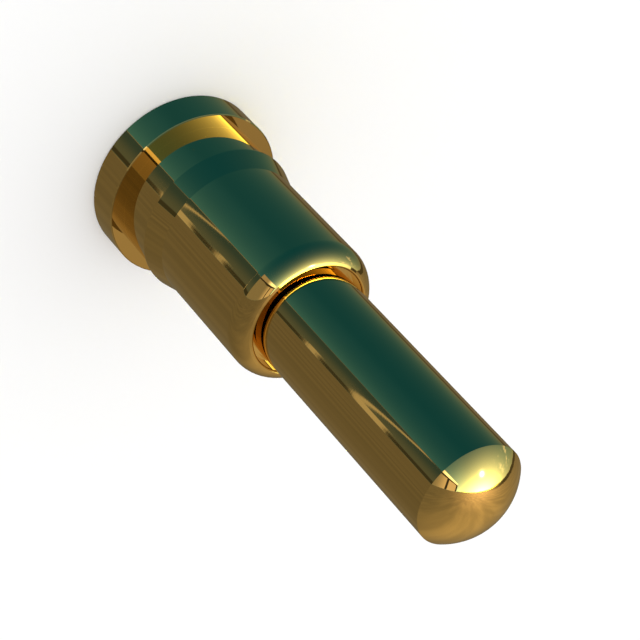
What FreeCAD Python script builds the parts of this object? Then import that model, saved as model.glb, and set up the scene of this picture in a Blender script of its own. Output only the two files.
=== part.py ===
import FreeCAD, Part
import os

import Sketcher

# Pogo pin: a spring-loaded contact pin that is soldered to a board by its flange.
# Millimetres. The pin stands on its solder face: the origin is at the centre of
# that face, and +Z is the pin's axis, towards the contact tip.

# Driving sizes. Radial steps are stacked from the plunger outwards, so a thicker
# plunger gets a wider bore, barrel, ring and flange.
SIZES = {
    # Plunger
    "plunger_dia": 1.42,
    "plunger_reach": 3.81,
    "dome_rise": 0.34,
    "shoulder_step": 0.11,
    "shoulder_chamfer": 0.04,
    "tail_chamfer": 0.05,
    "pocket_wall": 0.21,
    "tip_solid": 1.0,
    "drill_point_angle": 118,
    # Travel of the plunger, and what is left under its tail at the end of it
    "stroke": 1.4,
    "stroke_margin": 0.05,
    # Barrel, inside
    "bore_clearance": 0.02,
    "lip_clearance": 0.027,
    "lip_depth": 0.18,
    "lip_inner_round": 0.04,
    "floor_thickness": 0.25,
    # Barrel, outside
    "barrel_wall": 0.16,
    "lip_roll": 0.31,
    "lip_roll_angle": 66,
    "tube_length": 1.95,
    "ring_step": 0.085,
    "ring_land": 0.02,
    "ring_taper": 0.32,
    "neck_step": 0.035,
    "neck_length": 0.63,
    "flange_overhang": 0.225,
    "flange_thickness": 0.5,
    "flange_edge_round": 0.03,
    "base_edge_break": 0.02,
    # Spring
    "wire_dia": 0.14,
    "spring_clearance": 0.04,
    "end_coils": 1,
    "active_coils": 10,
    "coil_gap": 0.02,
    "ground_tip_share": 0.25,
}

# Radii that follow from the driving sizes
PLUNGER_RADIUS = "(sizes.plunger_dia / 2)"
POCKET_RADIUS = f"({PLUNGER_RADIUS} - sizes.pocket_wall)"
SHOULDER_RADIUS = f"({PLUNGER_RADIUS} + sizes.shoulder_step)"
BORE_RADIUS = f"({SHOULDER_RADIUS} + sizes.bore_clearance)"
LIP_RADIUS = f"({PLUNGER_RADIUS} + sizes.lip_clearance)"
BARREL_RADIUS = f"({BORE_RADIUS} + sizes.barrel_wall)"
NECK_RADIUS = f"({BARREL_RADIUS} + sizes.neck_step)"
RING_RADIUS = f"({BARREL_RADIUS} + sizes.ring_step)"
FLANGE_RADIUS = f"({BARREL_RADIUS} + sizes.flange_overhang)"
ROLL_RADIUS = f"({BARREL_RADIUS} - sizes.lip_roll)"
CROWN_RADIUS = f"({ROLL_RADIUS} + sizes.lip_roll * cos(sizes.lip_roll_angle * 1 deg))"
SPRING_RADIUS = f"({POCKET_RADIUS} - sizes.spring_clearance)"
COIL_RADIUS = f"({SPRING_RADIUS} - sizes.wire_dia / 2)"

# Heights above the solder face. A drill point rises by DRILL_SLOPE for each
# millimetre of radius.
DRILL_SLOPE = "tan((90 - sizes.drill_point_angle / 2) * 1 deg)"
NECK_TOP = "(sizes.flange_thickness + sizes.neck_length)"
LAND_TOP = f"({NECK_TOP} + sizes.ring_land)"
TAPER_TOP = f"({LAND_TOP} + sizes.ring_taper)"
BARREL_TOP = f"({TAPER_TOP} + sizes.tube_length)"
ROLL_START = f"({BARREL_TOP} - sizes.lip_roll * sin(sizes.lip_roll_angle * 1 deg))"
LIP_UNDERSIDE = f"({BARREL_TOP} - sizes.lip_depth)"
BORE_FLOOR = f"(sizes.floor_thickness + {BORE_RADIUS} * {DRILL_SLOPE})"
TAIL_HEIGHT = f"({BORE_FLOOR} + sizes.stroke_margin + sizes.stroke)"
FOOT_HEIGHT = f"(sizes.floor_thickness + {SPRING_RADIUS} * {DRILL_SLOPE})"

# Heights in the plunger's own frame, above its tail
SHOULDER_TOP = f"({LIP_UNDERSIDE} - {TAIL_HEIGHT})"
TIP_TOP = f"({BARREL_TOP} + sizes.plunger_reach - {TAIL_HEIGHT})"
DOME_ROOT = f"({TIP_TOP} - sizes.dome_rise)"
POCKET_END = f"({DOME_ROOT} - sizes.tip_solid)"
POCKET_POINT = f"({POCKET_END} + {POCKET_RADIUS} * {DRILL_SLOPE})"

# The spring in its own frame, above its foot. Its head rests on the drill point of
# the plunger's pocket. The wire's centre starts below the foot and ends above the
# head, and what sticks out is ground off.
SPRING_LENGTH = (
    f"({TAIL_HEIGHT} + {POCKET_END} + sizes.spring_clearance * {DRILL_SLOPE} - {FOOT_HEIGHT})"
)
GROUND_DEPTH = "(sizes.wire_dia * (0.5 - sizes.ground_tip_share))"
END_PITCH = "(sizes.wire_dia + sizes.coil_gap)"
END_RISE = f"({END_PITCH} * sizes.end_coils)"
ACTIVE_RISE = f"({SPRING_LENGTH} + 2 * {GROUND_DEPTH} - 2 * {END_RISE})"

# Radius of the axis, and height of each piece's own base
AXIS = "0"
BASE = "0"
FULL_TURN = 360

# The spring's wire is drawn with this many flat sides, its corners on the wire's diameter
WIRE_SIDES = 8

# Lengths closer than this are the same, and so are volumes
SAME = 1e-6

# Upright of a sketch, which its circles turn about
SKETCH_UPRIGHT = FreeCAD.Vector(0, 0, 1)

document = FreeCAD.newDocument("pogo_pin")


def add_sizes():
    """Write the driving sizes into the sheet, each under its own name."""
    table = document.addObject("Spreadsheet::Sheet", "sizes")
    for row, (name, number) in enumerate(SIZES.items(), 1):
        table.set(f"A{row}", name)
        table.set(f"B{row}", str(number))
        table.setAlias(f"B{row}", name)
    document.recompute()
    return table


def value(expression):
    """Number that an expression of the sizes gives."""
    return FreeCAD.Units.Quantity(sizes.evalExpression(expression)).Value


def add_body(name, height):
    """Body on the pin's axis, with its own origin at this height."""
    body = document.addObject("PartDesign::Body", name)
    body.Label = name
    body.setExpression("Placement.Base.z", height)
    return body


def origin_plane(body, role):
    """The body's own origin plane with this role."""
    return next(item for item in body.Origin.OriginFeatures if item.Role == role)


def add_sketch(body, name, role):
    """Empty sketch on one of the body's origin planes."""
    sketch = body.newObject("Sketcher::SketchObject", name)
    sketch.AttachmentSupport = (origin_plane(body, role), [""])
    sketch.MapMode = "FlatFace"
    return sketch


def hold(sketch, kind, geometry, point, name, expression):
    """Hold one coordinate of a point of the sketch at an expression."""
    sketch.addConstraint(Sketcher.Constraint(kind, -1, 1, geometry, point, value(expression)))
    sketch.renameConstraint(sketch.ConstraintCount - 1, name)
    sketch.setExpression(f"Constraints.{name}", expression)


def hold_corner(sketch, geometry, number, corner):
    """Hold the start point of a line at a corner, given as radius and height."""
    radius, height = corner
    if radius == AXIS:
        sketch.addConstraint(Sketcher.Constraint("PointOnObject", geometry, 1, -2))
    else:
        hold(sketch, "DistanceX", geometry, 1, f"radius_{number}", radius)
    if height == BASE:
        sketch.addConstraint(Sketcher.Constraint("PointOnObject", geometry, 1, -1))
    else:
        hold(sketch, "DistanceY", geometry, 1, f"height_{number}", height)


def outline(sketch, corners):
    """Straight edges from corner to corner, closed. A corner is a radius and a height."""
    points = [FreeCAD.Vector(value(radius), value(height), 0) for radius, height in corners]
    for start, end in zip(points, points[1:] + points[:1]):
        sketch.addGeometry(Part.LineSegment(start, end))
    for number, corner in enumerate(corners):
        before = (number - 1) % len(corners)
        sketch.addConstraint(Sketcher.Constraint("Coincident", before, 2, number, 1))
        hold_corner(sketch, number, number + 1, corner)
    document.recompute()


def half_section(body, name, corners):
    """Half section of a turned form, with straight edges."""
    sketch = add_sketch(body, name, "XZ_Plane")
    outline(sketch, corners)
    return sketch


def volume(body):
    """Volume of the body so far, which is none before its first feature."""
    return 0 if body.Shape.isNull() else body.Shape.Volume


def turn(body, kind, name, sketch):
    """Revolve a half section about the pin's axis, as added or removed material."""
    feature = body.newObject(f"PartDesign::{kind}", name)
    feature.Profile = sketch
    feature.ReferenceAxis = (sketch, ["V_Axis"])
    feature.Angle = FULL_TURN
    before = volume(body)
    document.recompute()
    if abs(volume(body) - before) < SAME:
        raise RuntimeError(f"{name} changes nothing")
    return feature


def rim(feature, radius, height):
    """Name of the feature's round edge with this radius and height."""
    for number, edge in enumerate(feature.Shape.Edges, 1):
        if not isinstance(edge.Curve, Part.Circle):
            continue
        same_radius = abs(edge.Curve.Radius - value(radius)) < SAME
        same_height = abs(edge.Curve.Center.z - value(height)) < SAME
        if same_radius and same_height:
            return f"Edge{number}"
    raise RuntimeError(f"{feature.Name} has no edge at {radius}, {height}")


def finish_rim(body, kind, name, corner, size):
    """Round or chamfer the edge at one corner of the newest feature."""
    base = body.Tip
    feature = body.newObject(f"PartDesign::{kind}", name)
    feature.Base = (base, [rim(base, *corner)])
    feature.setExpression("Radius" if kind == "Fillet" else "Size", size)
    document.recompute()
    return feature


def make_barrel():
    """Flange, neck, barb ring and tube, bored out under a rolled lip."""
    body = add_body("barrel", BASE)
    outside = [
        (AXIS, BASE),
        (FLANGE_RADIUS, BASE),
        (FLANGE_RADIUS, "sizes.flange_thickness"),
        (NECK_RADIUS, "sizes.flange_thickness"),
        (NECK_RADIUS, NECK_TOP),
        (RING_RADIUS, NECK_TOP),
        (RING_RADIUS, LAND_TOP),
        (BARREL_RADIUS, TAPER_TOP),
        (BARREL_RADIUS, ROLL_START),
        (AXIS, ROLL_START),
    ]
    inside = [
        (AXIS, "sizes.floor_thickness"),
        (BORE_RADIUS, BORE_FLOOR),
        (BORE_RADIUS, LIP_UNDERSIDE),
        (LIP_RADIUS, LIP_UNDERSIDE),
        (CROWN_RADIUS, BARREL_TOP),
        (AXIS, BARREL_TOP),
    ]
    turn(body, "Revolution", "barrel_blank", half_section(body, "barrel_outside", outside))
    turn(body, "Revolution", "rolled_end", roll_section(body))
    turn(body, "Groove", "barrel_bore", half_section(body, "barrel_inside", inside))
    rounds = [
        ("lip_inner_roll", (BORE_RADIUS, LIP_UNDERSIDE), "sizes.lip_inner_round"),
        ("flange_edge", (FLANGE_RADIUS, "sizes.flange_thickness"), "sizes.flange_edge_round"),
    ]
    for name, corner, size in rounds:
        finish_rim(body, "Fillet", name, corner, size)
    finish_rim(body, "Chamfer", "base_edge", (FLANGE_RADIUS, BASE), "sizes.base_edge_break")
    return body


def roll_section(body):
    """Half section of the rolled end of the tube: an arc inwards from the wall, over a flat root."""
    sketch = add_sketch(body, "roll_section", "XZ_Plane")
    middle = FreeCAD.Vector(value(ROLL_RADIUS), value(ROLL_START), 0)
    wall = FreeCAD.Vector(value(BARREL_RADIUS), value(ROLL_START), 0)
    crown = FreeCAD.Vector(value(CROWN_RADIUS), value(BARREL_TOP), 0)
    top = FreeCAD.Vector(0, crown.y, 0)
    root = FreeCAD.Vector(0, wall.y, 0)
    roll = Part.Circle(middle, SKETCH_UPRIGHT, value("sizes.lip_roll"))
    arc = sketch.addGeometry(Part.ArcOfCircle(roll, roll.parameter(wall), roll.parameter(crown)))
    top_edge = sketch.addGeometry(Part.LineSegment(crown, top))
    axis_edge = sketch.addGeometry(Part.LineSegment(top, root))
    root_edge = sketch.addGeometry(Part.LineSegment(root, wall))
    sketch.addConstraint(Sketcher.Constraint("Coincident", arc, 2, top_edge, 1))
    sketch.addConstraint(Sketcher.Constraint("Coincident", top_edge, 2, axis_edge, 1))
    sketch.addConstraint(Sketcher.Constraint("Coincident", axis_edge, 2, root_edge, 1))
    sketch.addConstraint(Sketcher.Constraint("Coincident", root_edge, 2, arc, 1))
    hold(sketch, "DistanceX", arc, 3, "roll_middle_radius", ROLL_RADIUS)
    hold(sketch, "DistanceY", arc, 3, "roll_middle_height", ROLL_START)
    hold_corner(sketch, top_edge, 1, (CROWN_RADIUS, BARREL_TOP))
    hold_corner(sketch, axis_edge, 2, (AXIS, BARREL_TOP))
    hold_corner(sketch, root_edge, 3, (AXIS, ROLL_START))
    sketch.addConstraint(Sketcher.Constraint("Horizontal", root_edge))
    document.recompute()
    return sketch


def make_plunger():
    """Domed contact tip and shank, with a shoulder that stays under the lip."""
    body = add_body("plunger", TAIL_HEIGHT)
    outside = [
        (AXIS, BASE),
        (SHOULDER_RADIUS, BASE),
        (SHOULDER_RADIUS, SHOULDER_TOP),
        (PLUNGER_RADIUS, SHOULDER_TOP),
        (PLUNGER_RADIUS, DOME_ROOT),
        (AXIS, DOME_ROOT),
    ]
    pocket = [
        (AXIS, BASE),
        (POCKET_RADIUS, BASE),
        (POCKET_RADIUS, POCKET_END),
        (AXIS, POCKET_POINT),
    ]
    turn(body, "Revolution", "plunger_blank", half_section(body, "plunger_outside", outside))
    turn(body, "Revolution", "contact_dome", dome_section(body))
    turn(body, "Groove", "spring_pocket", half_section(body, "pocket_section", pocket))
    shoulder = (SHOULDER_RADIUS, SHOULDER_TOP)
    tail = (SHOULDER_RADIUS, BASE)
    finish_rim(body, "Chamfer", "shoulder_edge", shoulder, "sizes.shoulder_chamfer")
    finish_rim(body, "Chamfer", "tail_edge", tail, "sizes.tail_chamfer")
    return body


def dome_section(body):
    """Half section of the low dome: an arc about the axis, over a flat root."""
    sketch = add_sketch(body, "dome_section", "XZ_Plane")
    reach = value(PLUNGER_RADIUS)
    rise = value("sizes.dome_rise")
    root = value(DOME_ROOT)
    radius = (reach ** 2 + rise ** 2) / (2 * rise)
    middle = FreeCAD.Vector(0, root + rise - radius, 0)
    top = FreeCAD.Vector(0, root + rise, 0)
    rim_point = FreeCAD.Vector(reach, root, 0)
    foot = FreeCAD.Vector(0, root, 0)
    ball = Part.Circle(middle, SKETCH_UPRIGHT, radius)
    start = ball.parameter(rim_point)
    end = ball.parameter(top)
    arc = sketch.addGeometry(Part.ArcOfCircle(ball, start, end))
    axis_edge = sketch.addGeometry(Part.LineSegment(top, foot))
    root_edge = sketch.addGeometry(Part.LineSegment(foot, rim_point))
    sketch.addConstraint(Sketcher.Constraint("Coincident", arc, 2, axis_edge, 1))
    sketch.addConstraint(Sketcher.Constraint("Coincident", axis_edge, 2, root_edge, 1))
    sketch.addConstraint(Sketcher.Constraint("Coincident", root_edge, 2, arc, 1))
    sketch.addConstraint(Sketcher.Constraint("PointOnObject", arc, 3, -2))
    hold_corner(sketch, axis_edge, 1, (AXIS, TIP_TOP))
    hold_corner(sketch, root_edge, 2, (AXIS, DOME_ROOT))
    sketch.addConstraint(Sketcher.Constraint("Horizontal", root_edge))
    hold(sketch, "DistanceX", root_edge, 2, "dome_radius", PLUNGER_RADIUS)
    document.recompute()
    return sketch


def wire_corners(height):
    """Corners of the wire's section about its middle, which lies at this height."""
    corners = []
    for number in range(WIRE_SIDES):
        angle = f"({number} * {FULL_TURN} deg / {WIRE_SIDES})"
        radius = f"({COIL_RADIUS} + sizes.wire_dia / 2 * cos({angle}))"
        corners.append((radius, f"({height} + sizes.wire_dia / 2 * sin({angle}))"))
    return corners


def add_coils(body, name, height, start_turn, rise, turns):
    """Wire wound about the axis from this height, starting where the last coil ended."""
    sketch = add_sketch(body, f"{name}_wire", "XZ_Plane")
    angle = value(start_turn) * FULL_TURN
    sketch.AttachmentOffset = FreeCAD.Placement(
        FreeCAD.Vector(),
        FreeCAD.Rotation(FreeCAD.Vector(0, 1, 0), angle),
    )
    sketch.setExpression("AttachmentOffset.Rotation.Angle", f"{start_turn} * {FULL_TURN} deg")
    outline(sketch, wire_corners(height))
    coils = body.newObject("PartDesign::AdditiveHelix", name)
    coils.Profile = sketch
    coils.ReferenceAxis = (sketch, ["V_Axis"])
    coils.Mode = "pitch-turns-angle"
    coils.setExpression("Pitch", f"{rise} / {turns}")
    coils.setExpression("Turns", turns)
    document.recompute()
    return coils


def grind_end(body, name, height, upwards):
    """Grind the wire flat past this height."""
    sketch = add_sketch(body, f"{name}_face", "XY_Plane")
    sketch.setExpression("AttachmentOffset.Base.z", height)
    rim_circle = Part.Circle(FreeCAD.Vector(), SKETCH_UPRIGHT, value(POCKET_RADIUS))
    wheel = sketch.addGeometry(rim_circle)
    sketch.addConstraint(Sketcher.Constraint("Coincident", wheel, 3, -1, 1))
    sketch.addConstraint(Sketcher.Constraint("Radius", wheel, value(POCKET_RADIUS)))
    sketch.renameConstraint(sketch.ConstraintCount - 1, "wheel_radius")
    sketch.setExpression("Constraints.wheel_radius", POCKET_RADIUS)
    document.recompute()
    before = volume(body)
    pocket = body.newObject("PartDesign::Pocket", name)
    pocket.Profile = sketch
    pocket.Reversed = upwards
    pocket.setExpression("Length", "sizes.wire_dia")
    document.recompute()
    if volume(body) > before - SAME:
        raise RuntimeError(f"{name} removes nothing")
    return pocket


def make_spring():
    """Compression spring with closed end coils, both ground flat."""
    body = add_body("spring", FOOT_HEIGHT)
    start = f"(0 - {GROUND_DEPTH})"
    active_start = f"({start} + {END_RISE})"
    head_start = f"({active_start} + {ACTIVE_RISE})"
    add_coils(body, "foot_coils", start, "0", END_RISE, "sizes.end_coils")
    add_coils(body, "active_coils", active_start, "sizes.end_coils", ACTIVE_RISE, "sizes.active_coils")
    head_turn = "(sizes.end_coils + sizes.active_coils)"
    add_coils(body, "head_coils", head_start, head_turn, END_RISE, "sizes.end_coils")
    grind_end(body, "ground_foot", BASE, False)
    grind_end(body, "ground_head", SPRING_LENGTH, True)
    return body


def check_states():
    """Stop if any object of the document failed to compute."""
    for item in document.Objects:
        if "Invalid" in item.State or "Error" in item.State:
            raise RuntimeError(f"{item.Name} failed: {item.State}")


def write(bodies):
    """Check every piece's solid and write each under its own name."""
    os.makedirs("parts", exist_ok=True)
    for body in bodies:
        if body.Shape.isNull() or not body.Shape.isValid() or len(body.Shape.Solids) != 1:
            raise RuntimeError(f"{body.Label} is not one valid solid")
    for body in bodies:
        body.Shape.exportStep(f"parts/{body.Label}.step")


sizes = add_sizes()
pieces = [make_barrel(), make_plunger(), make_spring()]
document.recompute()
check_states()
write(pieces)
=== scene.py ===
import math

import bpy
from mathutils import Matrix, Vector


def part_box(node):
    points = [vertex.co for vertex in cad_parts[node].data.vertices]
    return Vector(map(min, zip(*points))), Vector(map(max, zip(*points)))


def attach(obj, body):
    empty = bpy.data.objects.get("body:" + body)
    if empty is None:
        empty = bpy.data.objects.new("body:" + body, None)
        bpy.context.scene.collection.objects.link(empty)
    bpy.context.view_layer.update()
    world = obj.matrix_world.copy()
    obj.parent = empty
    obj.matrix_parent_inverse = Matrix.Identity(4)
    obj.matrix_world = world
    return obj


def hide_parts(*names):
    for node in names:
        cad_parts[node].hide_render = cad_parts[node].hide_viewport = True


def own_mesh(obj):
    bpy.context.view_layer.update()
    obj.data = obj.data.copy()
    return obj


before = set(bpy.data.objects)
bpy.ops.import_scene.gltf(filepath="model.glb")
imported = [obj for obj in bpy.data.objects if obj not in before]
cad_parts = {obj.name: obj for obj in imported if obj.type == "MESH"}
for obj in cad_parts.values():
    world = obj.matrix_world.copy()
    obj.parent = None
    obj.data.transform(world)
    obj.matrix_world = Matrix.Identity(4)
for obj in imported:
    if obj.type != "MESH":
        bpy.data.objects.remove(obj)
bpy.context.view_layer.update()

# Pogo pin, gold plated: a flanged barrel with a barb ring and a rolled lip, a domed plunger that slides
# in it, and the spring that pushes the plunger out. Every form is turned about the Z axis.
# Lengths below are millimetres unless they come from the frame, which is in metres.
MM = 0.001

# What the frame gives: the radii and heights that the solids reach
barrel_low, barrel_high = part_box("barrel")
plunger_low, plunger_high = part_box("plunger")
spring_low, spring_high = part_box("spring")
FLANGE_RADIUS = barrel_high.x / MM
BARREL_TOP = barrel_high.z / MM
SHOULDER_RADIUS = plunger_high.x / MM
TAIL_HEIGHT = plunger_low.z / MM
TIP_HEIGHT = plunger_high.z / MM
SPRING_FOOT = spring_low.z / MM
SPRING_HEAD = spring_high.z / MM

# Barrel, outside
TUBE_RADIUS = 1.0
BASE_BREAK = 0.02
FLANGE_TOP = 0.5
FLANGE_BREAK = 0.014
NECK_RADIUS = TUBE_RADIUS + 0.035
NECK_TOP = FLANGE_TOP + 0.63
RING_RADIUS = TUBE_RADIUS + 0.085
LAND_TOP = NECK_TOP + 0.02
TAPER_TOP = LAND_TOP + 0.32

# Barrel, lip and bore. The roll ends in a narrow sloping crown, and inside that the mouth's straight wall
# goes down to a ledge round the shank.
LIP_RADIUS = 0.737
LIP_MOUTH = 0.785
CROWN_RADIUS = 0.816
LIP_EDGE = CROWN_RADIUS - LIP_MOUTH
LIP_ROLL = 0.31
LIP_ROLL_ANGLE = math.radians(60)
ROLL_END_RADIUS = TUBE_RADIUS - LIP_ROLL * (1 - math.cos(LIP_ROLL_ANGLE))
CROWN_SLOPE = math.radians(24)
ROLL_END = BARREL_TOP - (ROLL_END_RADIUS - CROWN_RADIUS) * math.tan(CROWN_SLOPE)
ROLL_START = ROLL_END - LIP_ROLL * math.sin(LIP_ROLL_ANGLE)
LIP_UNDERSIDE = BARREL_TOP - 0.18
LIP_LEDGE = BARREL_TOP - 0.13
LIP_INNER = 0.04
BORE_RADIUS = 0.84
DRILL_POINT = 0.25
DRILL_SLOPE = math.tan(math.radians(90 - 118 / 2))
BORE_FLOOR = DRILL_POINT + BORE_RADIUS * DRILL_SLOPE

# Plunger
SHANK_RADIUS = 0.71
SHOULDER_BREAK = 0.04
TAIL_BREAK = 0.05
DOME_RISE = 0.34
DOME_ROOT = TIP_HEIGHT - DOME_RISE
POCKET_RADIUS = 0.5
POCKET_END = DOME_ROOT - 1.0

# Spring
WIRE_RADIUS = 0.07
COIL_RADIUS = 0.39
END_COILS = 1
ACTIVE_COILS = 10
END_PITCH = 0.16
GROUND_DEPTH = 0.035

# How finely the meshes are cut, and how near a point counts as on the axis
TURN_PARTS = 256
ROLL_PARTS = 40
EDGE_PARTS = 12
DOME_PARTS = 48
WIRE_PARTS = 16
COIL_PARTS = 72
ON_AXIS = 1e-9


class Profile:
    """Half section of a turned form, drawn from the axis round the material and back to the axis.

    The outside of the material is on the right of the pen. Each step keeps the true normals of its
    two ends, so a plain wall beside a round mirrors as straight as a turned one."""

    def __init__(self, radius, height):
        self.pen = Vector((radius, height))
        self.points = [self.pen.copy()]
        self.normals = []

    def step(self, end, start_normal, end_normal):
        self.pen = end
        self.points.append(end.copy())
        self.normals.append((start_normal, end_normal))

    def line_to(self, radius, height):
        end = Vector((radius, height))
        run = end - self.pen
        normal = Vector((run.y, -run.x)).normalized()
        self.step(end, normal, normal)

    def arc_about(self, radius, height, turn, parts=8):
        """Arc of this many degrees about a middle, counterclockwise when positive."""
        middle = Vector((radius, height))
        arm = self.pen - middle
        side = math.copysign(1, turn)
        for part in range(parts):
            before, after = (
                arm @ Matrix.Rotation(math.radians(turn) * share / parts, 2).transposed()
                for share in (part, part + 1)
            )
            self.step(middle + after, side * before.normalized(), side * after.normalized())


def turned_mesh(name, profile):
    """Mesh of a profile turned about the axis, with the profile's own normals."""
    compass = [2 * math.pi * part / TURN_PARTS for part in range(TURN_PARTS)]
    spokes = [(math.cos(angle), math.sin(angle)) for angle in compass]
    vertices = []
    rings = []
    for radius, height in profile.points:
        on_axis = radius < ON_AXIS
        first = len(vertices)
        if on_axis:
            vertices.append((0, 0, height * MM))
        else:
            vertices += [(radius * x * MM, radius * y * MM, height * MM) for x, y in spokes]
        rings.append((first, on_axis))
    faces = []
    corner_normals = []
    for number, (start_normal, end_normal) in enumerate(profile.normals):
        (below, below_on_axis), (above, above_on_axis) = rings[number], rings[number + 1]
        for part in range(TURN_PARTS):
            after = (part + 1) % TURN_PARTS
            corners = [
                (below, below_on_axis, part, start_normal),
                (below, below_on_axis, after, start_normal),
                (above, above_on_axis, after, end_normal),
                (above, above_on_axis, part, end_normal),
            ]
            if below_on_axis:
                corners.pop(1)
            if above_on_axis:
                corners.pop(2)
            faces.append([first if on_axis else first + spoke for first, on_axis, spoke, normal in corners])
            for first, on_axis, spoke, normal in corners:
                x, y = spokes[spoke]
                corner_normals.append((normal.x * x, normal.x * y, normal.y))
    mesh = bpy.data.meshes.new(name)
    mesh.from_pydata(vertices, [], faces)
    mesh.shade_smooth()
    mesh.normals_split_custom_set(corner_normals)
    return mesh


def add_piece(name, mesh, body, node, material):
    """Piece that stands for a CAD node and rides on its body."""
    piece = bpy.data.objects.new(name, mesh)
    bpy.context.scene.collection.objects.link(piece)
    mesh.materials.append(material)
    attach(piece, body)
    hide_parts(node)
    return piece


def barrel_profile():
    """Flange, neck, barb ring and tube, then over the rolled lip and down the bore."""
    profile = Profile(0, 0)
    profile.line_to(FLANGE_RADIUS - BASE_BREAK, 0)
    profile.arc_about(FLANGE_RADIUS - BASE_BREAK, BASE_BREAK, 90)
    profile.line_to(FLANGE_RADIUS, FLANGE_TOP - FLANGE_BREAK)
    profile.line_to(FLANGE_RADIUS - FLANGE_BREAK, FLANGE_TOP)
    profile.line_to(NECK_RADIUS, FLANGE_TOP)
    profile.line_to(NECK_RADIUS, NECK_TOP)
    profile.line_to(RING_RADIUS, NECK_TOP)
    profile.line_to(RING_RADIUS, LAND_TOP)
    profile.line_to(TUBE_RADIUS, TAPER_TOP)
    profile.line_to(TUBE_RADIUS, ROLL_START)
    profile.arc_about(TUBE_RADIUS - LIP_ROLL, ROLL_START, math.degrees(LIP_ROLL_ANGLE), ROLL_PARTS)
    profile.line_to(CROWN_RADIUS, BARREL_TOP)
    profile.arc_about(CROWN_RADIUS, BARREL_TOP - LIP_EDGE, 90, EDGE_PARTS)
    profile.line_to(LIP_MOUTH, LIP_LEDGE)
    profile.line_to(LIP_RADIUS, LIP_LEDGE)
    profile.line_to(LIP_RADIUS, LIP_UNDERSIDE)
    profile.line_to(BORE_RADIUS - LIP_INNER, LIP_UNDERSIDE)
    profile.arc_about(BORE_RADIUS - LIP_INNER, LIP_UNDERSIDE - LIP_INNER, -90)
    profile.line_to(BORE_RADIUS, BORE_FLOOR)
    profile.line_to(0, DRILL_POINT)
    return profile


def plunger_profile():
    """From the drill point of the spring's pocket down to the tail, then up the outside to the tip."""
    dome_radius = (SHANK_RADIUS ** 2 + DOME_RISE ** 2) / (2 * DOME_RISE)
    dome_turn = math.degrees(math.asin(SHANK_RADIUS / dome_radius))
    profile = Profile(0, POCKET_END + POCKET_RADIUS * DRILL_SLOPE)
    profile.line_to(POCKET_RADIUS, POCKET_END)
    profile.line_to(POCKET_RADIUS, TAIL_HEIGHT)
    profile.line_to(SHOULDER_RADIUS - TAIL_BREAK, TAIL_HEIGHT)
    profile.line_to(SHOULDER_RADIUS, TAIL_HEIGHT + TAIL_BREAK)
    profile.line_to(SHOULDER_RADIUS, LIP_UNDERSIDE - SHOULDER_BREAK)
    profile.line_to(SHOULDER_RADIUS - SHOULDER_BREAK, LIP_UNDERSIDE)
    profile.line_to(SHANK_RADIUS, LIP_UNDERSIDE)
    profile.line_to(SHANK_RADIUS, DOME_ROOT)
    profile.arc_about(0, TIP_HEIGHT - dome_radius, dome_turn, DOME_PARTS)
    return profile


def wire_height(turn):
    """Height of the wire's middle after this many turns: closed coils at both ends, open ones between."""
    start = SPRING_FOOT - GROUND_DEPTH
    end = SPRING_HEAD + GROUND_DEPTH
    end_rise = END_COILS * END_PITCH
    active_rise = end - start - 2 * end_rise
    if turn < END_COILS:
        return start + turn * END_PITCH
    if turn < END_COILS + ACTIVE_COILS:
        return start + end_rise + (turn - END_COILS) * active_rise / ACTIVE_COILS
    return end - (2 * END_COILS + ACTIVE_COILS - turn) * END_PITCH


def spring_mesh(name):
    """Round wire wound about the axis, with both ends ground flat."""
    turns = 2 * END_COILS + ACTIVE_COILS
    sections = turns * COIL_PARTS + 1
    vertices = []
    for section in range(sections):
        turn = section / COIL_PARTS
        x, y = math.cos(2 * math.pi * turn), math.sin(2 * math.pi * turn)
        middle = wire_height(turn)
        for part in range(WIRE_PARTS):
            around = 2 * math.pi * part / WIRE_PARTS
            radius = COIL_RADIUS + WIRE_RADIUS * math.cos(around)
            height = middle + WIRE_RADIUS * math.sin(around)
            ground = min(max(height, SPRING_FOOT), SPRING_HEAD)
            vertices.append((radius * x * MM, radius * y * MM, ground * MM))
    faces = [list(range(WIRE_PARTS)), [len(vertices) - 1 - part for part in range(WIRE_PARTS)]]
    for section in range(sections - 1):
        first = section * WIRE_PARTS
        following = first + WIRE_PARTS
        for part in range(WIRE_PARTS):
            after = (part + 1) % WIRE_PARTS
            faces.append([first + part, first + after, following + after, following + part])
    mesh = bpy.data.meshes.new(name)
    mesh.from_pydata(vertices, [], faces)
    mesh.shade_smooth()
    return mesh


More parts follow.
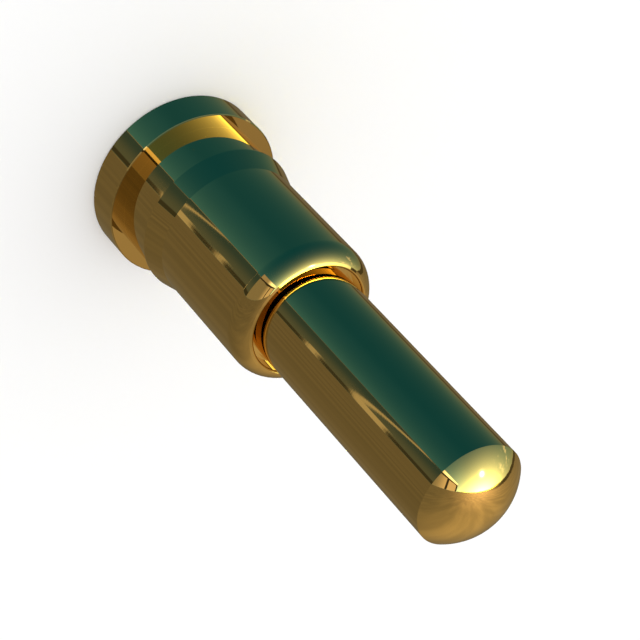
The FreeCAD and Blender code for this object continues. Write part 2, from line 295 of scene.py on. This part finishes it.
class Graph:
    """Short hand for a node tree. node() gives the node that it adds, and the others give an output."""

    def __init__(self, tree):
        self.tree = tree

    def node(self, kind, **settings):
        node = self.tree.nodes.new(kind)
        for name, setting in settings.items():
            setattr(node, name, setting)
        return node

    def feed(self, socket, source):
        if isinstance(source, bpy.types.NodeSocket):
            self.tree.links.new(source, socket)
        else:
            socket.default_value = source

    def math(self, operation, first, second=0.0):
        node = self.node("ShaderNodeMath", operation=operation)
        self.feed(node.inputs[0], first)
        self.feed(node.inputs[1], second)
        return node.outputs[0]

    def share(self, value, low, high):
        """0 where the value is at low or before it, 1 at high or past it, smooth between."""
        node = self.node("ShaderNodeMapRange", interpolation_type="SMOOTHSTEP")
        self.feed(node.inputs["Value"], value)
        node.inputs["From Min"].default_value = low
        node.inputs["From Max"].default_value = high
        return node.outputs[0]

    def band(self, value, low, high, soft):
        """1 between low and high, 0 outside, with edges this soft."""
        rise = self.share(value, low - soft, low + soft)
        fall = self.share(value, high - soft, high + soft)
        return self.math("SUBTRACT", rise, fall)

    def dot(self, vector, axis):
        node = self.node("ShaderNodeVectorMath", operation="DOT_PRODUCT")
        self.feed(node.inputs[0], vector)
        self.feed(node.inputs[1], axis)
        return node.outputs["Value"]

    def mix(self, share, first, second, blend="MIX"):
        node = self.node("ShaderNodeMix", data_type="RGBA", blend_type=blend, clamp_factor=False)
        self.feed(node.inputs["Factor"], share)
        self.feed(node.inputs["A"], colour(first) if isinstance(first, tuple) else first)
        self.feed(node.inputs["B"], colour(second) if isinstance(second, tuple) else second)
        return node.outputs["Result"]

    def noise(self, vector, scale, detail=3.0, stretch=(1, 1, 1)):
        mapping = self.node("ShaderNodeMapping")
        self.feed(mapping.inputs["Vector"], vector)
        mapping.inputs["Scale"].default_value = stretch
        node = self.node("ShaderNodeTexNoise")
        self.feed(node.inputs["Vector"], mapping.outputs[0])
        node.inputs["Scale"].default_value = scale
        node.inputs["Detail"].default_value = detail
        return node.outputs["Fac"]


def colour(triple):
    return (*triple, 1.0)


# Gold: its colour, how much painted shade darkens the flange's upper face and how much painted highlight
# brightens the dome. Both shares follow the photograph's brightness, and 1 would be the same plating all
# over.
# The face is a thin band of height round FLANGE_TOP, outside the neck.
GOLD = (0.86, 0.62, 0.258)
FACE_SHADE_SHARE = 0.68
FACE_HALF = 0.006
FACE_SOFT = 0.002
FACE_START = (NECK_RADIUS + 0.0005, NECK_RADIUS + 0.0015)
DOME_HIGHLIGHT_SHARE = 1.16
DOME_START = (DOME_ROOT - 0.01, DOME_ROOT + 0.01)
GOLD_ROUGHNESS = (0.015, 0.045)
TOOL_MARKS = 28.0
TOOL_MARK_DEPTH = 0.00002

# Spring steel, and the marks that the die left along it
STEEL = (0.60, 0.58, 0.55)
STEEL_ROUGHNESS = (0.22, 0.38)
DRAWN_MARKS = 60.0
DRAWN_MARK_DEPTH = 0.0012

# Both metals: how fine the marks are, how many slow changes of tone and roughness there are to a metre, and
# the darkest and lightest tone
MARK_DETAIL = 2.0
CLOUDING = 1500.0
TONE_DARK = (0.975, 0.975, 0.975)
TONE_LIGHT = (1.02, 1.02, 1.02)


def bare_metal(name):
    """New metallic material, with its shader and a graph to add nodes to."""
    material = bpy.data.materials.new(name)
    material.use_nodes = True
    shader = material.node_tree.nodes["Principled BSDF"]
    shader.inputs["Metallic"].default_value = 1
    return material, shader, Graph(material.node_tree)


def radius_and_height(graph):
    """Distance from the axis and height, both in millimetres."""
    place = graph.node("ShaderNodeSeparateXYZ")
    graph.feed(place.inputs[0], graph.node("ShaderNodeTexCoord").outputs["Object"])
    x, y, z = place.outputs
    square = graph.math("ADD", graph.math("MULTIPLY", x, x), graph.math("MULTIPLY", y, y))
    return graph.math("DIVIDE", graph.math("SQRT", square), MM), graph.math("DIVIDE", z, MM)


def finish_metal(graph, shader, tone, roughness, scale, depth):
    """Cloudy roughness and tone, and fine marks of this depth in millimetres that run round the axis."""
    cloud = graph.noise(graph.node("ShaderNodeTexCoord").outputs["Object"], CLOUDING)
    radius, height = radius_and_height(graph)
    marks_place = graph.node("ShaderNodeCombineXYZ")
    graph.feed(marks_place.inputs[0], radius)
    graph.feed(marks_place.inputs[1], height)
    marks = graph.noise(marks_place.outputs[0], scale, MARK_DETAIL)
    shade = graph.mix(cloud, TONE_DARK, TONE_LIGHT)
    graph.feed(shader.inputs["Base Color"], graph.mix(1.0, tone, shade, "MULTIPLY"))
    smooth, rough = roughness
    spread = graph.math("MULTIPLY", graph.math("ADD", cloud, marks), (rough - smooth) / 2)
    graph.feed(shader.inputs["Roughness"], graph.math("ADD", spread, smooth))
    bump = graph.node("ShaderNodeBump")
    bump.inputs["Distance"].default_value = depth * MM
    graph.feed(bump.inputs["Height"], marks)
    graph.feed(shader.inputs["Normal"], bump.outputs[0])


def gold_plate():
    """Bright gold plating on turned brass, with painted shade on the flange's upper face and a painted
    highlight on the dome.
    """
    material, shader, graph = bare_metal("gold_plate")
    radius, height = radius_and_height(graph)
    # Painted shade: the gold is darker on a thin band round the flange's upper face
    face_height = graph.band(height, FLANGE_TOP - FACE_HALF, FLANGE_TOP + FACE_HALF, FACE_SOFT)
    face = graph.math("MULTIPLY", face_height, graph.share(radius, *FACE_START))
    # Painted highlight: the gold is brighter on the dome
    dome = graph.share(height, *DOME_START)
    tone = graph.mix(face, GOLD, tuple(level * FACE_SHADE_SHARE for level in GOLD))
    tone = graph.mix(dome, tone, tuple(level * DOME_HIGHLIGHT_SHARE for level in GOLD))
    finish_metal(graph, shader, tone, GOLD_ROUGHNESS, TOOL_MARKS, TOOL_MARK_DEPTH)
    return material


def spring_wire():
    """Drawn spring steel, with the die's marks along the wire."""
    material, shader, graph = bare_metal("spring_wire")
    finish_metal(graph, shader, STEEL, STEEL_ROUGHNESS, DRAWN_MARKS, DRAWN_MARK_DEPTH)
    return material


# The photograph's camera, fitted to the outline: above the pin and rolled, so that the tip points down
# to the right. Its place, aim and clipping are in metres, and its lens in millimetres.
CAMERA_PLACE = Vector((0, -19.992, 20.042)) * MM
CAMERA_AIM = Vector((-0.1027, 0, 3.5281)) * MM
CAMERA_ROLL = math.radians(137.274)
CAMERA_LENS = 118.906
CAMERA_NEAR = 0.001
CAMERA_FAR = 10


def add_camera():
    """Camera at the photograph's place and angle."""
    camera = bpy.data.objects.new("camera", bpy.data.cameras.new("camera"))
    bpy.context.scene.collection.objects.link(camera)
    camera.location = CAMERA_PLACE
    upright = (CAMERA_AIM - CAMERA_PLACE).to_track_quat("-Z", "Y").to_matrix()
    camera.rotation_euler = (upright @ Matrix.Rotation(CAMERA_ROLL, 3, "Z")).to_euler()
    camera.data.lens = CAMERA_LENS
    camera.data.clip_start = CAMERA_NEAR
    camera.data.clip_end = CAMERA_FAR
    bpy.context.scene.camera = camera


# Floor, in metres, and its colour
FLOOR_REACH = 2.0
FLOOR_COLOUR = (0.97, 0.97, 0.97, 1)


def add_floor():
    """Plain pale floor under the solder face, which the gold doesn't mirror."""
    mesh = bpy.data.meshes.new("floor")
    corners = [(x * FLOOR_REACH, y * FLOOR_REACH, 0) for x, y in ((-1, -1), (1, -1), (1, 1), (-1, 1))]
    mesh.from_pydata(corners, [], [(0, 1, 2, 3)])
    material = bpy.data.materials.new("floor")
    material.use_nodes = True
    shader = material.node_tree.nodes["Principled BSDF"]
    shader.inputs["Base Color"].default_value = FLOOR_COLOUR
    shader.inputs["Roughness"].default_value = 1
    mesh.materials.append(material)
    floor = bpy.data.objects.new("floor", mesh)
    bpy.context.scene.collection.objects.link(floor)
    floor.visible_glossy = False


# What the gold mirrors, as the photograph's gold does: an open yard in low sunlight, as if the pin lay
# level in it.
# Headings are degrees from the way the tip points, positive towards the side with a long wall.
# The other side has a low hedge. Colours are light levels, so the sun's may pass 1.
# A place is a heading and an elevation, and a grain is the scale and the detail of a noise. Any other pair
# is where a change starts and where it ends, unless its own comment says more. Three heights are the
# lowest, the highest and the softness of the edges.
SKY_SIDE = Vector((-0.7822, -0.6230, 0.0089))
AHEAD = Vector((0, 0, 1))
ASIDE = SKY_SIDE.cross(AHEAD) * -1

# The whole yard is this much brighter than the colours below
YARD_LIGHT = 1.163

# Sky: a haze that falls off with height, in degrees, with more of it over the wall and warmer light low
# over the hedge
HIGH_SKY = (0.0, 0.0531, 0.1064)
HAZE = (0.1047, 0.1889, 0.0772)
HAZE_FALL = 17.2
SHADY_HAZE = (0.05, 0.17, 0.26)
SHADY_HAZE_FALL = 16.0
SHADY_SIDE = (0.0, 0.3)
WARM_HAZE_GAIN = (0.06, 0.0, 0.0)
WARM_HAZE_LOSS = (0.0, 0.10, 0.12)
WARM_HAZE_FALL = 8.0
WARM_SIDE = (-0.2, -0.6)

# Glow of the low sun. The bright middle of it is below the horizon, and the sun itself is small and higher
# up. Spreads and falls are degrees.
GLOW_PLACE = (-21.8, -12.8)
GLOW = (6.46, 7.67, 5.3)
GLOW_FALL = 15.9
GLOW_HEART = (53.4, 54.6, 1.51)
GLOW_HEART_SPREAD = 15.1
WIDE_GLOW_PLACE = (-26.3, 6.5)
WIDE_GLOW = (0.44, 0.35, 0.18)
WIDE_GLOW_SPREAD = 28.1
SUN_HEADING = -21.0
SUN_ELEVATION = 22.0
SUN = (60.0, 55.0, 45.0)
SUN_FALL = 1.1

# Clouds over the hedge, and the sides and heights that they keep to
CLOUD = (0.42, 0.33, 0.22)
CLOUD_GRAIN = (9.0, 5.0)
CLOUD_EDGE = (0.52, 0.68)
CLOUD_SIDE = (-0.55, -0.85)
CLOUD_HEIGHTS = (0.12, 0.5, 0.1)
CLOUD_AHEAD = (-0.15, 0.15)

# Ground, with the sky's sheen on it and streaks that run ahead
GROUND = (0.139, 0.119, 0.074)
GROUND_SHEEN = (0.265, 0.198, 0.10)
GROUND_SHEEN_PLACE = (-42.5, -41.5)
GROUND_SHEEN_SPREAD = 43.9
GROUND_GLARE = (0.95, 0.66, 0.40)
GROUND_GLARE_PLACE = (-20.7, 12.9)
GROUND_GLARE_SPREAD = 26.2
LEAST_DROP = 0.02
STREAK_GRAIN = (1.4, 6.0)
STREAK_STRETCH = (0.35, 1.6, 1)
STREAK_EDGE = (0.3, 0.75)
STREAK_DARK = (0.82, 0.82, 0.82)
STREAK_LIGHT = (1.16, 1.14, 1.10)
HORIZON_SOFT = 0.004

# The wall, with sizes as shares of its distance: heights from the eye, lengths towards the tip.
# A post has its place and half width, and the trim its foot and top.
EAVES_LOW = 0.56
EAVES_LOW_AHEAD = 0.525
EAVES_HIGH = 0.605
ROOF_HIGH = 0.745
RIDGE_SOFT = 0.012
LEAST_ASIDE = 0.001
NEAR_ASIDE = 0.02
WALL_START = (3.73, 3.67)
WALL_CORNER = -0.13
GABLE_WIDTH = 0.05
WALL_POSTS = ((1.70, 0.11), (3.46, 0.24))
LINE_SOFT = 0.01
CORNER_SOFT = 0.02
WALL_SUN = (0.8, 1.7)
ROOF_SUN = (0.6, 1.6)
EAVES_DEEPER = (0.4, 0.9)
WALL_LIT = (0.62, 0.48, 0.29)
WALL_PLAIN = (0.225, 0.195, 0.125)
ROOF_LIT = (1.6, 1.5, 1.0)
ROOF_PLAIN = (0.33, 0.27, 0.18)
SHADE_LOW = (0.080, 0.095, 0.075)
SHADE_HIGH = (0.032, 0.058, 0.060)
SHADE_CHANGE = (0.12, 0.5)
WALL_DARK = (0.035, 0.030, 0.018)
TRIM = (0.586, 0.598)
TRIM_LIGHT = (0.28, 0.24, 0.14)
TRIM_SOFT = 0.003
TRIM_GRAIN = (2.2, 2.0)
TRIM_WORN = (0.46, 0.54)
PLINTH_HIGH = 0.10
PLINTH_SOFT = 0.015
PLINTH = (0.038, 0.038, 0.024)

# Light pillars along the shady wall: place, lean, half width and top of each
PILLAR_LIGHT = (0.40, 0.34, 0.21)
PILLAR_SOFT = 0.003
PILLAR_TOP_SOFT = 0.03
PILLARS = (
    (-0.757, 0.09, 0.007, 0.60),
    (-0.745, 0.05, 0.015, 0.17),
    (-0.812, 0.06, 0.007, 0.17),
    (-0.966, 0.20, 0.006, 0.60),
    (-0.975, 0.10, 0.020, 0.16),
    (-0.92, 0.06, 0.005, 0.17),
)

# Hedge along the horizon, with a ragged top. It is full past HEDGE_SIDE, away from the wall, and low and
# thin from there to LOW_HEDGE_SIDE.
HEDGE = (0.060, 0.050, 0.026)
HEDGE_GRAIN = (40.0, 4.0)
HEDGE_RAGGED = 0.06
HEDGE_SIDE = (-0.5, -0.9)
HEDGE_HEIGHTS = (-0.02, 0.062, 0.004)
LOW_HEDGE_SIDE = (0.26, 0.22)
LOW_HEDGE_HEIGHTS = (0.018, 0.046, 0.004)
LOW_HEDGE_SHARE = 0.6


def heading_vector(heading, elevation):
    """Direction at this heading and elevation."""
    turn, rise = math.radians(heading), math.radians(elevation)
    level = AHEAD * math.cos(turn) + ASIDE * math.sin(turn)
    return (level * math.cos(rise) + SKY_SIDE * math.sin(rise)).normalized()


def angle_from(graph, view, heading, elevation):
    """Angle between the view and one direction."""
    nearness = graph.dot(view, heading_vector(heading, elevation))
    return graph.math("ARCCOSINE", graph.math("MINIMUM", nearness, 1.0))


def falling(graph, angle, fall):
    """1 at no angle, and about a third as much after each fall of so many degrees."""
    return graph.math("EXPONENT", graph.math("DIVIDE", angle, -math.radians(fall)))


def bell(graph, angle, spread):
    """1 at no angle, with a soft round top, and about a third at the spread."""
    share = graph.math("DIVIDE", angle, math.radians(spread))
    return graph.math("EXPONENT", graph.math("MULTIPLY", graph.math("MULTIPLY", share, share), -1.0))


def sky_colour(graph, view, ahead, aside, above):
    """Haze, the glow of the low sun, clouds and the sun."""
    elevation = graph.math("ARCSINE", above)
    sky = graph.mix(falling(graph, elevation, HAZE_FALL), HIGH_SKY, HAZE, "ADD")
    shady = falling(graph, elevation, SHADY_HAZE_FALL)
    shady = graph.math("MULTIPLY", shady, graph.share(aside, *SHADY_SIDE))
    sky = graph.mix(shady, sky, SHADY_HAZE, "ADD")
    warm = falling(graph, elevation, WARM_HAZE_FALL)
    warm = graph.math("MULTIPLY", warm, graph.share(aside, *WARM_SIDE))
    sky = graph.mix(warm, sky, WARM_HAZE_GAIN, "ADD")
    sky = graph.mix(warm, sky, WARM_HAZE_LOSS, "SUBTRACT")
    glow_angle = angle_from(graph, view, *GLOW_PLACE)
    sky = graph.mix(falling(graph, glow_angle, GLOW_FALL), sky, GLOW, "ADD")
    sky = graph.mix(bell(graph, glow_angle, GLOW_HEART_SPREAD), sky, GLOW_HEART, "ADD")
    wide_angle = angle_from(graph, view, *WIDE_GLOW_PLACE)
    sky = graph.mix(bell(graph, wide_angle, WIDE_GLOW_SPREAD), sky, WIDE_GLOW, "ADD")
    tufts = graph.share(graph.noise(view, *CLOUD_GRAIN), *CLOUD_EDGE)
    cloudy = graph.math("MULTIPLY", graph.share(aside, *CLOUD_SIDE), graph.band(above, *CLOUD_HEIGHTS))
    cloudy = graph.math("MULTIPLY", cloudy, graph.share(ahead, *CLOUD_AHEAD))
    sky = graph.mix(graph.math("MULTIPLY", tufts, cloudy), sky, CLOUD, "ADD")
    sun = falling(graph, angle_from(graph, view, SUN_HEADING, SUN_ELEVATION), SUN_FALL)
    return graph.mix(sun, sky, SUN, "ADD")


def ground_colour(graph, view, ahead, aside, above):
    """Plain ground with sheen and glare on it, and streaks drawn in perspective."""
    sheen = bell(graph, angle_from(graph, view, *GROUND_SHEEN_PLACE), GROUND_SHEEN_SPREAD)
    ground = graph.mix(sheen, GROUND, GROUND_SHEEN, "ADD")
    glare = bell(graph, angle_from(graph, view, *GROUND_GLARE_PLACE), GROUND_GLARE_SPREAD)
    ground = graph.mix(glare, ground, GROUND_GLARE, "ADD")
    drop = graph.math("MAXIMUM", graph.math("MULTIPLY", above, -1.0), LEAST_DROP)
    spot = graph.node("ShaderNodeCombineXYZ")
    graph.feed(spot.inputs[0], graph.math("DIVIDE", ahead, drop))
    graph.feed(spot.inputs[1], graph.math("DIVIDE", aside, drop))
    streaks = graph.noise(spot.outputs[0], *STREAK_GRAIN, STREAK_STRETCH)
    dark = graph.mix(1.0, ground, STREAK_DARK, "MULTIPLY")
    light = graph.mix(1.0, ground, STREAK_LIGHT, "MULTIPLY")
    return graph.mix(graph.share(streaks, *STREAK_EDGE), dark, light)


def front_colour(graph, along, height):
    """Sunlit part of the wall: posts, the dark line under the eaves and the roof."""
    front = graph.mix(graph.share(along, *WALL_SUN), WALL_PLAIN, WALL_LIT)
    for post, half in WALL_POSTS:
        front = graph.mix(graph.band(along, post - half, post + half, CORNER_SOFT), front, WALL_DARK)
    eaves = graph.mix(graph.share(along, *EAVES_DEEPER), (EAVES_LOW,) * 3, (EAVES_LOW_AHEAD,) * 3)
    under_eaves = graph.share(graph.math("SUBTRACT", height, eaves), -LINE_SOFT, 0.0)
    front = graph.mix(under_eaves, front, WALL_DARK)
    roof = graph.mix(graph.share(along, *ROOF_SUN), ROOF_PLAIN, ROOF_LIT)
    return graph.mix(graph.share(height, EAVES_HIGH - LINE_SOFT, EAVES_HIGH), front, roof)


def shady_colour(graph, spot, along, height):
    """Shady part of the wall: a worn light trim at the top, a dark plinth and the light pillars."""
    back = graph.mix(graph.share(height, *SHADE_CHANGE), SHADE_LOW, SHADE_HIGH)
    worn = graph.share(graph.noise(spot, *TRIM_GRAIN), *TRIM_WORN)
    trim = graph.math("MULTIPLY", graph.band(height, *TRIM, TRIM_SOFT), worn)
    back = graph.mix(trim, back, TRIM_LIGHT)
    plinth = graph.share(height, PLINTH_HIGH + PLINTH_SOFT, PLINTH_HIGH - PLINTH_SOFT)
    back = graph.mix(plinth, back, PLINTH)
    for place, lean, half, top in PILLARS:
        upright = graph.math("ADD", along, graph.math("MULTIPLY", height, lean))
        width = graph.band(upright, place - half, place + half, PILLAR_SOFT)
        pillar = graph.math("MULTIPLY", width, graph.share(height, top, top - PILLAR_TOP_SOFT))
        back = graph.mix(pillar, back, PILLAR_LIGHT)
    return back


def add_wall(graph, yard, over_ground, ahead, aside, above):
    """The yard with the long wall, whose places are found by dividing by the distance to it."""
    distance = graph.math("MAXIMUM", aside, LEAST_ASIDE)
    height = graph.math("DIVIDE", above, distance)
    along = graph.math("DIVIDE", ahead, distance)
    past_corner = graph.share(along, WALL_CORNER - GABLE_WIDTH, WALL_CORNER)
    ridge = graph.mix(past_corner, (EAVES_HIGH,) * 3, (ROOF_HIGH,) * 3)
    under_ridge = graph.share(graph.math("SUBTRACT", ridge, height), 0.0, RIDGE_SOFT)
    on_side = graph.math("MULTIPLY", over_ground, graph.share(aside, 0.0, NEAR_ASIDE))
    in_wall = graph.math("MULTIPLY", graph.share(along, *WALL_START), on_side)
    spot = graph.node("ShaderNodeCombineXYZ")
    graph.feed(spot.inputs[0], along)
    shady = graph.share(along, WALL_CORNER + CORNER_SOFT, WALL_CORNER - CORNER_SOFT)
    front = front_colour(graph, along, height)
    wall = graph.mix(shady, front, shady_colour(graph, spot.outputs[0], along, height))
    return graph.mix(graph.math("MULTIPLY", in_wall, under_ridge), yard, wall)


def add_hedge(graph, yard, view, aside, above):
    """The yard with the ragged hedge along its horizon."""
    rough = graph.math("MULTIPLY", graph.noise(view, *HEDGE_GRAIN), HEDGE_RAGGED)
    ragged = graph.math("ADD", above, rough)
    full = graph.band(ragged, *HEDGE_HEIGHTS)
    full = graph.math("MULTIPLY", full, graph.share(aside, *HEDGE_SIDE))
    low = graph.band(ragged, *LOW_HEDGE_HEIGHTS)
    low = graph.math("MULTIPLY", low, graph.share(aside, *LOW_HEDGE_SIDE))
    yard = graph.mix(graph.math("MULTIPLY", low, LOW_HEDGE_SHARE), yard, HEDGE)
    return graph.mix(full, yard, HEDGE)


def yard_colour(graph, view):
    """Colour of the surroundings in each direction."""
    ahead = graph.dot(view, AHEAD)
    aside = graph.dot(view, ASIDE)
    above = graph.dot(view, SKY_SIDE)
    over_ground = graph.share(above, -HORIZON_SOFT, HORIZON_SOFT)
    ground = ground_colour(graph, view, ahead, aside, above)
    yard = graph.mix(over_ground, ground, sky_colour(graph, view, ahead, aside, above))
    yard = add_wall(graph, yard, over_ground, ahead, aside, above)
    yard = add_hedge(graph, yard, view, aside, above)
    return graph.mix(1.0, yard, (YARD_LIGHT,) * 3, "MULTIPLY")


# The plain white light that everything but a mirror ray sees
STUDIO_LIGHT = 1.08


def set_world():
    """The yard in what the gold mirrors, and plain white light for everything else."""
    world = bpy.data.worlds.new("studio")
    bpy.context.scene.world = world
    world.use_nodes = True
    graph = Graph(world.node_tree)
    view = graph.node("ShaderNodeTexCoord").outputs["Generated"]
    mirrored = graph.node("ShaderNodeLightPath").outputs["Is Glossy Ray"]
    seen = graph.mix(mirrored, (STUDIO_LIGHT,) * 3, yard_colour(graph, view))
    graph.feed(world.node_tree.nodes["Background"].inputs["Color"], seen)


gold = gold_plate()
steel = spring_wire()
barrel_mesh = turned_mesh("barrel_body", barrel_profile())
plunger_mesh = turned_mesh("plunger_body", plunger_profile())
add_piece("barrel_body", barrel_mesh, "barrel", "barrel", gold)
add_piece("plunger_body", plunger_mesh, "plunger", "plunger", gold)
spring = add_piece("spring_coil", spring_mesh("spring_coil"), "barrel", "spring", steel)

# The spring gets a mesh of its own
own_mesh(spring)

add_camera()
add_floor()
set_world()
bpy.context.scene.view_settings.view_transform = "Standard"
